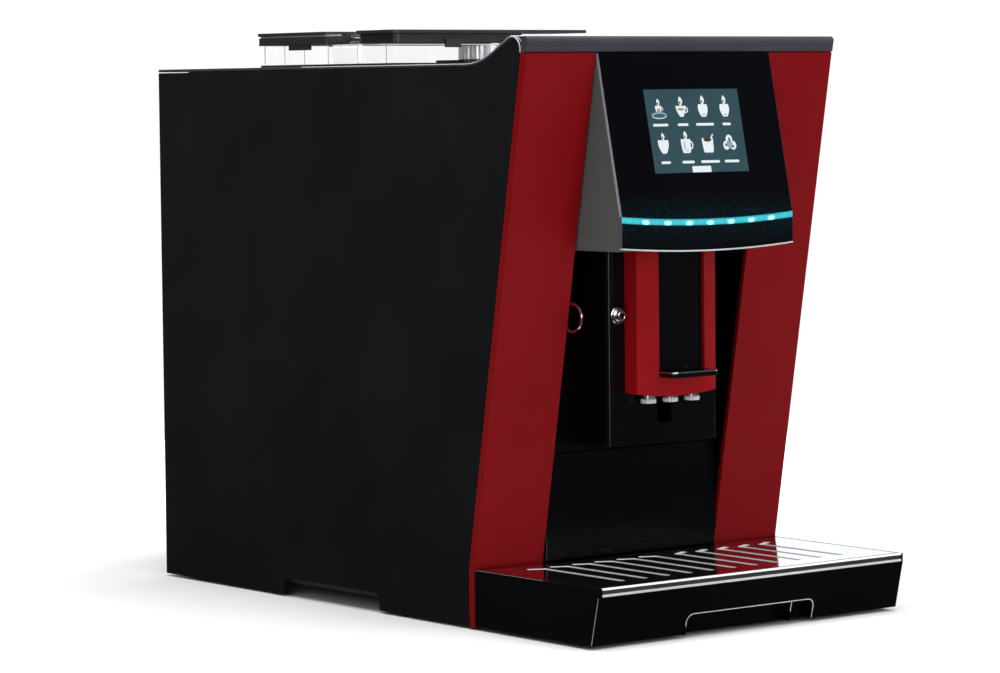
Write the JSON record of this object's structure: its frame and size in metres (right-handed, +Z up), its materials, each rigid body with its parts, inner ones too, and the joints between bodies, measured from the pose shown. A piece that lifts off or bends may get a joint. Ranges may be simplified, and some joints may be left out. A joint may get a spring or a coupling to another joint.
{
  "type": "fully automatic coffee machine",
  "caption": "Countertop bean-to-cup coffee machine with a touch screen head, height-adjustable spout, pull-out drip tray, bean hopper lids and a lift-out water tank.",
  "frame": {"origin": "centre of the footprint, on the surface the machine stands on", "axes": "+Z up, -Y out of the front (the tray and spout side), +X to the right as seen from the front"},
  "size_m": [0.24, 0.444, 0.3548],
  "materials": {
    "panel_black": "satin with a faint fine texture",
    "deck_dark": "matte",
    "band_dark": "satin",
    "fascia_red": "semi-gloss",
    "spout_red": "semi-gloss",
    "gloss_black": "high gloss",
    "head_grey": "satin",
    "display_glass": "high gloss black glass",
    "screen": "lit screen",
    "led_cyan": "lit light guide",
    "chrome": "polished",
    "mirror_steel": "mirror polished stainless",
    "brushed_steel": "brushed",
    "clear_plastic": "clear moulded plastic",
    "smoke_plastic": "smoked clear plastic",
    "rubber": "matte",
    "inner_plastic": "matte moulded plastic",
    "brew_plastic": "matte moulded plastic",
    "aluminium": "cast",
    "motor_steel": "zinc plated",
    "burr_steel": "hardened steel",
    "brass": "machined",
    "silicone": "translucent silicone",
    "board_green": "solder mask"
  },
  "bodies": {
    "chassis": {"left_side_panel": "panel_black", "right_side_panel": "panel_black", "door_hinge_pins": "brushed_steel", "rear_panel": "deck_dark", "base_pan": "deck_dark", "feet": "rubber", "casing_screws": "brushed_steel", "chassis_frame": "inner_plastic", "deck_cover": "deck_dark", "top_band": "band_dark", "left_fascia": "fascia_red", "right_fascia": "fascia_red", "bay_liner": "gloss_black", "guide_column": "gloss_black", "milk_port": "chrome", "head_housing": "head_grey", "display_glass": "display_glass", "display_module": "screen", "display_board": "board_green", "led_bar": "led_cyan", "lower_band": "gloss_black", "head_trim": "chrome", "bean_hopper": "clear_plastic", "powder_funnel": "inner_plastic", "lid_hinge_pins": "brushed_steel", "grinder_motor": "motor_steel", "grinder_housing": "inner_plastic", "grounds_chute": "inner_plastic", "brew_frame": "inner_plastic", "brew_chamber": "brew_plastic", "brew_motor": "motor_steel", "tank_seat": "inner_plastic", "pump": "brass", "thermoblock": "aluminium", "water_hoses": "silicone", "circuit_boards": "board_green", "mains_inlet": "inner_plastic", "inlet_pins": "brass", "switch_housing": "inner_plastic"},
    "service_door": {"service_door": "panel_black"},
    "spout": {"spout_shell": "spout_red", "spout_insert": "gloss_black", "spout_ledge": "gloss_black", "spout_carriage": "inner_plastic", "spout_manifold": "inner_plastic", "coffee_nozzles": "chrome"},
    "tray": {"drip_tray": "gloss_black", "tray_trim": "chrome"},
    "plate": {"cup_plate": "mirror_steel"},
    "bin": {"grounds_bin": "gloss_black"},
    "front_lid": {"front_lid": "deck_dark"},
    "rear_lid": {"rear_lid": "deck_dark"},
    "grind_adjuster": {"upper_burr": "burr_steel"},
    "burr": {"lower_burr": "burr_steel"},
    "press": {"brew_piston": "brew_plastic"},
    "screw": {"brew_screw": "brushed_steel"},
    "tank": {"water_tank": "smoke_plastic", "tank_lid_pins": "brushed_steel"},
    "tank_lid": {"tank_lid": "deck_dark"},
    "rocker": {"power_rocker": "gloss_black"}
  },
  "joints": [
    {"name": "tray_slide", "type": "slide", "parent": "chassis", "child": "tray", "axis": [0, -1, 0], "range_m": [0, 0.18]},
    {"name": "plate_lift", "type": "slide", "parent": "tray", "child": "plate", "axis": [0, -0.1994, 0.9799], "range_m": [0, 0.05]},
    {"name": "bin_slide", "type": "slide", "parent": "chassis", "child": "bin", "axis": [0, -1, 0], "range_m": [0, 0.17]},
    {"name": "spout_height", "type": "slide", "parent": "chassis", "child": "spout", "axis": [0, 0, 1], "range_m": [-0.025, 0.04]},
    {"name": "front_lid_swing", "type": "hinge", "parent": "chassis", "child": "front_lid", "pos_m": [0, 0.0705, 0.35], "axis": [-1, 0, 0], "range_deg": [0, 88]},
    {"name": "rear_lid_swing", "type": "hinge", "parent": "chassis", "child": "rear_lid", "pos_m": [0, 0.0855, 0.35], "axis": [1, 0, 0], "range_deg": [0, 88]},
    {"name": "door_swing", "type": "hinge", "parent": "chassis", "child": "service_door", "pos_m": [0.1185, 0.0985, 0.19], "axis": [0, 0, 1], "range_deg": [0, 110]},
    {"name": "tank_lift", "type": "slide", "parent": "chassis", "child": "tank", "axis": [0, 0, 1], "range_m": [0, 0.15]},
    {"name": "tank_lid_swing", "type": "hinge", "parent": "tank", "child": "tank_lid", "pos_m": [0, 0.2146, 0.33], "axis": [-1, 0, 0], "range_deg": [0, 95]},
    {"name": "rocker_tilt", "type": "hinge", "parent": "chassis", "child": "rocker", "pos_m": [-0.034, 0.2168, 0.036], "axis": [1, 0, 0], "range_deg": [-7, 7]},
    {"name": "grind_adjust", "type": "hinge", "parent": "chassis", "child": "grind_adjuster", "pos_m": [-0.042, 0.125, 0.215], "axis": [0, 0, 1], "range_deg": [-20, 20]},
    {"name": "burr_spin", "type": "hinge", "parent": "chassis", "child": "burr", "pos_m": [-0.042, 0.125, 0.2], "axis": [0, 0, 1], "continuous": true},
    {"name": "press_stroke", "type": "slide", "parent": "chassis", "child": "press", "axis": [0, 0, -1], "range_m": [0, 0.038]},
    {"name": "screw_spin", "type": "hinge", "parent": "chassis", "child": "screw", "pos_m": [0.078, 0.02, 0.18], "axis": [0, 0, 1], "range_deg": [-2, 1142]}
  ],
  "couplings": [
    {"joint": "screw_spin", "follows": "press_stroke", "rad_per_m": 523.6}
  ]
}
